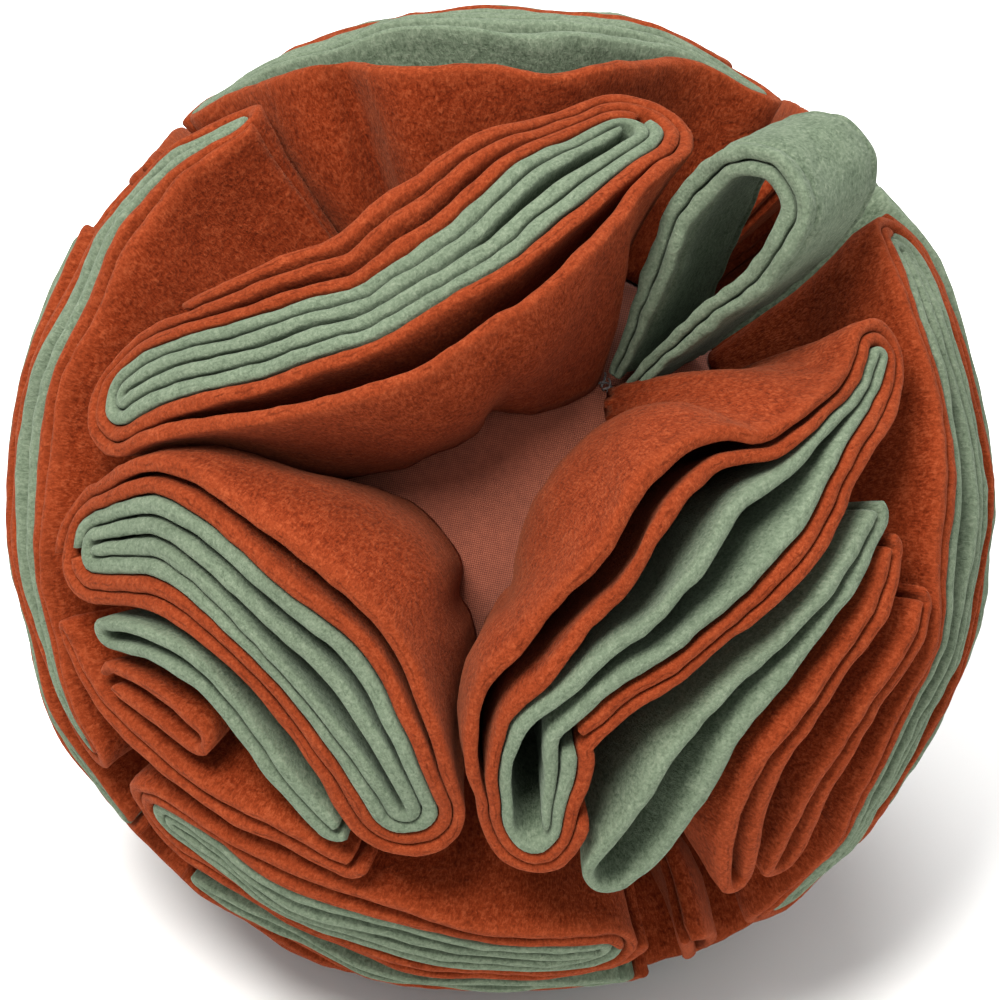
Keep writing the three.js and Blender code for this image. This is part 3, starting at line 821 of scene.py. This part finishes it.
def fleece_material(name, dark, plain, light, tint, line):
    """Polar fleece: a short nap brushed down the strip, mottled, with a painted highlight that makes the
    cut edges paler and a painted shade line in the crease along their middle.
    """
    n = Nodes(name)
    where = n.object_place()
    across = n.value("across")
    crest = n.value("crest")
    # a place on the unrolled strip: along it, down it at half scale, and through its thickness
    brushed = n.add("ShaderNodeCombineXYZ", {
        "X": n.math("MULTIPLY", n.value("run"), MM),
        "Y": n.math("MULTIPLY", n.value("lift"), BRUSHED_DEPTH * MM),
        "Z": n.math("MULTIPLY", across, RIM_THICKNESS / 2 * MM),
    }).outputs[0]
    hairs = n.noise(brushed, HAIRS, 3.0, 0.7, 0.5)
    specks = n.noise(where, SPECKS, 3.0, 0.65, 0.4)
    clumps = n.noise(where, CLUMPS, 4.0, 0.6, 0.8)
    broad = n.noise(where, SHADES, 3.0, 0.6)
    tone = n.weighed((hairs, specks, clumps), NAP_TONE)
    colour = n.ramp(tone, [(0.37, dark), (0.5, plain), (0.63, light)])
    shade = n.ramp(broad, [(0.3, (0.90, 0.89, 0.88)), (0.7, (1.06, 1.05, 1.04))])
    colour = n.mix(1.0, colour, shade, "MULTIPLY")
    # painted highlight: the cut edges are mixed towards the light colour, as if lit from above
    colour = n.mix(n.math("MULTIPLY", crest, CREST_PAINTED_HIGHLIGHT), colour, (*light, 1))
    # painted shade: a dark broken line along the middle of each cut edge, where two plies meet in a crease
    wander_scale, stray = CREASE_WANDER
    wander = n.math("MULTIPLY", n.math("SUBTRACT", n.noise(where, wander_scale, 3.0), 0.5), stray)
    off_middle = n.math("ABSOLUTE", n.math("ADD", across, wander))
    middle = n.math("SUBTRACT", 1.0, n.between(*CREASE_WIDTH, off_middle))
    broken = n.between(0.47, 0.62, n.noise(where, CREASE_BREAKS, 3.0, 0.6))
    crease_shade = n.math("MULTIPLY", n.math("MULTIPLY", middle, broken), n.math("MULTIPLY", crest, line))
    colour = n.mix(crease_shade, colour, tuple(CREASE_SHADE_DARK * part for part in dark) + (1,))
    n.feed(n.shader.inputs["Base Color"], colour)
    n.shader.inputs["Roughness"].default_value = 0.96
    n.shader.inputs["Specular IOR Level"].default_value = 0.04
    n.shader.inputs["Sheen Weight"].default_value = 0.1
    n.shader.inputs["Sheen Roughness"].default_value = 0.5
    n.shader.inputs["Sheen Tint"].default_value = (*tint, 1)
    height = n.weighed((hairs, specks, clumps), NAP_HEIGHT)
    height = n.math("SUBTRACT", height, n.math("MULTIPLY", crease_shade, CREASE_DEPTH))
    n.feed(n.shader.inputs["Normal"], n.bump(height, *NAP_BUMP))
    return n.material


def woven_material(name, dark, plain, light):
    """A fine plain weave, laid flat across the bare patch of the core."""
    n = Nodes(name)
    where = n.object_place()
    lift = math.pi / 2 - FRONT_LIFT
    turned = n.add(
        "ShaderNodeMapping", {"Vector": where, "Rotation": (-lift, 0.0, 0.0)}, vector_type="POINT"
    ).outputs[0]
    spun = n.add("ShaderNodeMapping", {"Vector": turned, "Rotation": (0.0, 0.0, WEAVE_SPIN)}).outputs[0]
    apart = n.add("ShaderNodeSeparateXYZ", {0: spun})
    turns = 2 * math.pi / WEAVE_THREAD
    warp = n.math("SINE", n.math("MULTIPLY", apart.outputs["X"], turns))
    weft = n.math("SINE", n.math("MULTIPLY", apart.outputs["Y"], turns))
    cells = n.math("MULTIPLY", warp, weft)
    height = n.math("ADD", n.math("MULTIPLY", cells, 0.5), 0.5)
    uneven = n.math("MULTIPLY", n.noise(where, 900.0, 3.0), 0.3)
    tone = n.math("ADD", n.math("MULTIPLY", height, 0.75), uneven)
    colour = n.ramp(tone, [(0.15, dark), (0.5, plain), (0.9, light)])
    cloud = n.ramp(n.noise(where, 60.0, 3.0), [(0.3, (0.85, 0.85, 0.85)), (0.7, (1.1, 1.1, 1.1))])
    n.feed(n.shader.inputs["Base Color"], n.mix(1.0, colour, cloud, "MULTIPLY"))
    n.shader.inputs["Roughness"].default_value = 0.8
    n.shader.inputs["Sheen Weight"].default_value = 0.15
    n.shader.inputs["Specular IOR Level"].default_value = 0.3
    n.feed(n.shader.inputs["Normal"], n.bump(height, 0.6, 0.00012))
    return n.material


def thread_material(name):
    n = Nodes(name)
    where = n.object_place()
    twist = n.noise(where, 3000.0, 2.0)
    grey = n.ramp(twist, [(0.3, (0.035, 0.03, 0.028)), (0.7, (0.2, 0.18, 0.17))])
    n.feed(n.shader.inputs["Base Color"], grey)
    n.shader.inputs["Roughness"].default_value = 0.6
    n.feed(n.shader.inputs["Normal"], n.bump(twist, 0.5, 0.0001))
    return n.material


def floor_material():
    n = Nodes("floor_paint")
    where = n.object_place()
    pale = n.ramp(n.noise(where, 3.0, 3.0), [(0.3, (0.86, 0.86, 0.85)), (0.7, (0.88, 0.88, 0.87))])
    n.feed(n.shader.inputs["Base Color"], pale)
    n.shader.inputs["Roughness"].default_value = 0.85
    return n.material


# line sets how dark the painted shade line in the crease along the cut edges is
RUST = fleece_material(
    "rust_fleece_nap",
    dark=(0.060, 0.0060, 0.0009), plain=(0.138, 0.0190, 0.0046), light=(0.226, 0.0455, 0.0150),
    tint=(1.0, 0.40, 0.22), line=0.5,
)
SAGE = fleece_material(
    "sage_fleece_nap",
    dark=(0.038, 0.056, 0.033), plain=(0.086, 0.114, 0.075), light=(0.146, 0.178, 0.124),
    tint=(0.85, 1.0, 0.82), line=0.25,
)
CORE = woven_material(
    "core_weave",
    dark=(0.066, 0.0150, 0.0078), plain=(0.200, 0.0460, 0.0225), light=(0.33, 0.105, 0.055)
)
THREAD = thread_material("sewing_thread")


def soft(piece, node):
    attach(piece, "root")
    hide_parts(node)


def make_strip(made, number, colour, start, stop):
    rim, root, out, thickness, at, length, where = strip_lines(made, colour, start, stop)
    points, values = soft_section(made, rim, root, out, thickness, at, where, number)
    points = on_floor(weather(points))
    faces = faces_out(points, tube_faces(*points.shape[:2]))
    name = "%s_%s" % (made["name"], colour)
    piece = make_piece(name + "_strip", points, faces, values, RUST if colour == "rust" else SAGE)
    soft(piece, name)
    return piece


def make_loop():
    """The carrying strip: folded along its length, stitched near both edges, standing as a drop."""
    root = direction(LOOP_ROOT[0], LOOP_ROOT[1]) * LOOP_ROOT[2]
    tip = direction(LOOP_TIP[0], LOOP_TIP[1]) * LOOP_TIP[2]
    up = unit(tip - root)
    swing = direction(*LOOP_SWING)
    wide = unit(swing - up * np.dot(swing, up))
    aside = np.cross(up, wide)
    line = [root + up * row[0] + aside * row[1] for row in LOOP_OUTLINE]
    t = np.linspace(0, 1, LOOP_STATIONS + 1)
    centre = spline(line, t)
    thick = unit(np.cross(np.gradient(centre, axis=0), wide))
    rows = len(LOOP_OUTLINE)
    squeeze = np.interp(t * (rows - 1), np.arange(rows), [row[2] for row in LOOP_OUTLINE])
    ply, gap = LOOP_PLY * LOOP_PLY_FLUFF, LOOP_PLY_GAP / 2
    near, far = -LOOP_WIDTH / 2, LOOP_WIDTH / 2
    fold = gap + ply
    section = []  # across the strip, out of its middle, share of the way over the cut edge, edge

    def flat(across, out, groove=0.0):
        section.append((across, out - math.copysign(groove, out), 1.0, 0.0))

    def cut_edge(angles, side):
        for angle in np.radians(angles):
            over = math.cos(angle)
            out = side * (gap + ply * (1 - over) / 2)
            section.append((near - LOOP_EDGE_REACH * math.sin(angle), out, -side * over, 1.0))

    inner = [far - fold, far - 8, 2.0, near + 4, near + 1.5]
    outer = [near + 0.6, near + 1.6, near + 2.2, near + 2.6, near + 3.0, near + 3.8, near + 6, near + 9,
             0.0, far - 9, far - 6, far - 3.9, far - 3.3, far - 2.9]
    dips = {near + place: depth for place, depth in LOOP_GROOVES.items()}
    dips.update({far - place: depth for place, depth in LOOP_FOLD_GROOVES.items()})
    for across in inner:
        flat(across, gap)
    cut_edge(LOOP_EDGE_ANGLES, 1)
    for across in outer:
        flat(across, fold, dips.get(across, 0.0))
    for angle in np.radians(np.arange(80, -81, -LOOP_FOLD_STEP)):
        section.append((far - fold + fold * math.cos(angle), fold * math.sin(angle), 1.0, 0.0))
    for across in reversed(outer):
        flat(across, -fold, dips.get(across, 0.0))
    cut_edge(LOOP_EDGE_ANGLES[::-1], -1)
    for across in reversed(inner):
        flat(across, -gap)
    across, out, over, crest = (np.array(column) for column in zip(*section))
    scale = squeeze[:, None]
    points = (
        centre[:, None]
        + wide * across[None, :, None]
        + thick[:, None] * (out[None, :] * scale)[..., None]
    )
    free = smooth_step(*LOOP_FREE, t * LOOP_WAY)[:, None, None]
    points = on_floor(points + FLUFF(points) * LOOP_FLUFF_SIZE + MIDDLE(points) * LOOP_WAVE_SIZE * free)
    shape = points.shape[:2]
    along = np.concatenate([[0], np.cumsum(np.linalg.norm(np.diff(centre, axis=0), axis=1))])
    values = {
        "across": np.broadcast_to(over, shape),
        "crest": np.broadcast_to(crest, shape),
        "run": np.broadcast_to(along[:, None], shape),
        "lift": np.broadcast_to(across / LOOP_WIDTH, shape),
    }
    faces = faces_out(points, tube_faces(*shape))
    piece = make_piece("carry_loop_strip", points, faces, values, SAGE)
    soft(piece, "carry_loop")
    # the strip is twice as wide before it is folded
    near_root = root + wide * near
    make_thread(near_root, up, wide, aside)


def make_thread(place, up, wide, aside):
    """Grey stitches that hold the loop's root to the core: short slanted arcs in a row."""
    outward = unit(place)
    run = unit(aside - outward * np.dot(aside, outward))
    cross = np.cross(outward, run)
    base = outward * (CORE_RADIUS + THREAD_SINK)
    draw = np.random.default_rng(7)
    points, faces = [], []
    sides, steps = STITCH_SIDES, STITCH_STEPS
    swell, twist = THREAD_TWIST
    for number in range(STITCHES):
        aside_by = (number - STITCHES // 2) * STITCH_SPACING
        middle = base + run * aside_by + cross * draw.uniform(-STITCH_STRAY, STITCH_STRAY)
        lean = draw.uniform(*STITCH_LEAN) * (1 if number % 2 else -1)
        way = unit(cross + run * lean)
        reach = draw.uniform(*STITCH_REACH)
        height = draw.uniform(*STITCH_HEIGHT)
        first = len(points)
        for step in range(steps + 1):
            share = step / steps
            here = middle + way * (share * 2 - 1) * reach + outward * height * math.sin(share * math.pi)
            for side in range(sides):
                angle = 2 * math.pi * side / sides
                ring = run * math.cos(angle) + outward * math.sin(angle)
                points.append(here + ring * THREAD_RADIUS * (1 + swell * math.sin(step * twist)))
        for step in range(steps):
            for side in range(sides):
                a = first + step * sides + side
                b = first + step * sides + (side + 1) % sides
                faces.append((a, b, b + sides, a + sides))
        faces.append(tuple(first + side for side in reversed(range(sides))))
        faces.append(tuple(first + steps * sides + side for side in range(sides)))
    piece = make_piece("root_stitches", np.array(points) + CENTRE, faces, None, THREAD)
    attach(piece, "root")


def make_core():
    """The cloth-covered core, a little lumpy."""
    rings, sides = CORE_RINGS, CORE_SIDES
    lean = np.linspace(0, math.pi, rings + 1)[1:-1]
    turn = np.linspace(0, 2 * math.pi, sides, endpoint=False)
    ll, tt = np.meshgrid(lean, turn, indexing="ij")
    ball = np.stack([np.sin(ll) * np.cos(tt), np.sin(ll) * np.sin(tt), np.cos(ll)], axis=-1).reshape(-1, 3)
    ball = np.vstack([ball, [[0, 0, 1], [0, 0, -1]]]) * CORE_RADIUS
    lump = BROAD(ball)[:, :1] * CORE_LUMPS - CORE_SHRINK
    points = ball * (1 + lump / CORE_RADIUS) + CENTRE
    faces = []
    for i in range(rings - 2):
        for k in range(sides):
            nxt = (k + 1) % sides
            faces.append((i * sides + k, (i + 1) * sides + k, (i + 1) * sides + nxt, i * sides + nxt))
    top, bottom = (rings - 1) * sides, (rings - 1) * sides + 1
    low = (rings - 2) * sides
    for k in range(sides):
        nxt = (k + 1) % sides
        faces.append((top, k, nxt))
        faces.append((bottom, low + nxt, low + k))
    piece = make_piece("core_cover", points, faces, None, CORE)
    soft(piece, "core_ball")
    return piece


for number, made in enumerate(NESTS):
    for colour, start, stop in made["strips"]:
        make_strip(made, 100 + number, colour, start, stop)
make_core()
make_loop()


def make_stage():
    bpy.ops.mesh.primitive_plane_add(size=FLOOR_SIZE, location=(0, 0, 0))
    floor = bpy.context.object
    floor.name = "floor"
    floor.data.materials.append(floor_material())


def add_light(name, place, size, power, colour):
    data = bpy.data.lights.new(name, "AREA")
    data.shape = "DISK"
    data.size = size
    data.energy = power
    data.color = colour
    lamp = bpy.data.objects.new(name, data)
    lamp.location = place
    lamp.rotation_euler = (Vector(CENTRE * MM) - Vector(place)).to_track_quat("-Z", "Y").to_euler()
    bpy.context.scene.collection.objects.link(lamp)


def make_light():
    world = bpy.data.worlds.new("studio")
    bpy.context.scene.world = world
    world.use_nodes = True
    background = world.node_tree.nodes["Background"]
    background.inputs["Color"].default_value = (1.0, 1.0, 1.0, 1)
    background.inputs["Strength"].default_value = WORLD_STRENGTH
    for name, place, size, power, colour in LIGHTS:
        add_light(name, place, size, power, colour)
    bpy.context.scene.view_settings.view_transform = "Standard"


def make_camera():
    data = bpy.data.cameras.new("camera")
    data.sensor_width = CAMERA_SENSOR
    reach = BALL_RADIUS * MM
    tangent = math.sqrt(CAMERA_DISTANCE**2 - reach**2)
    data.lens = data.sensor_width * BALL_SHARE * tangent / reach
    data.clip_start = 0.05
    camera = bpy.data.objects.new("camera", data)
    back = Vector((0, -math.cos(FRONT_LIFT), math.sin(FRONT_LIFT)))
    camera.location = Vector(CENTRE * MM) + back * CAMERA_DISTANCE
    camera.rotation_euler = (-back).to_track_quat("-Z", "Y").to_euler()
    bpy.context.scene.collection.objects.link(camera)
    bpy.context.scene.camera = camera


make_stage()
make_light()
make_camera()
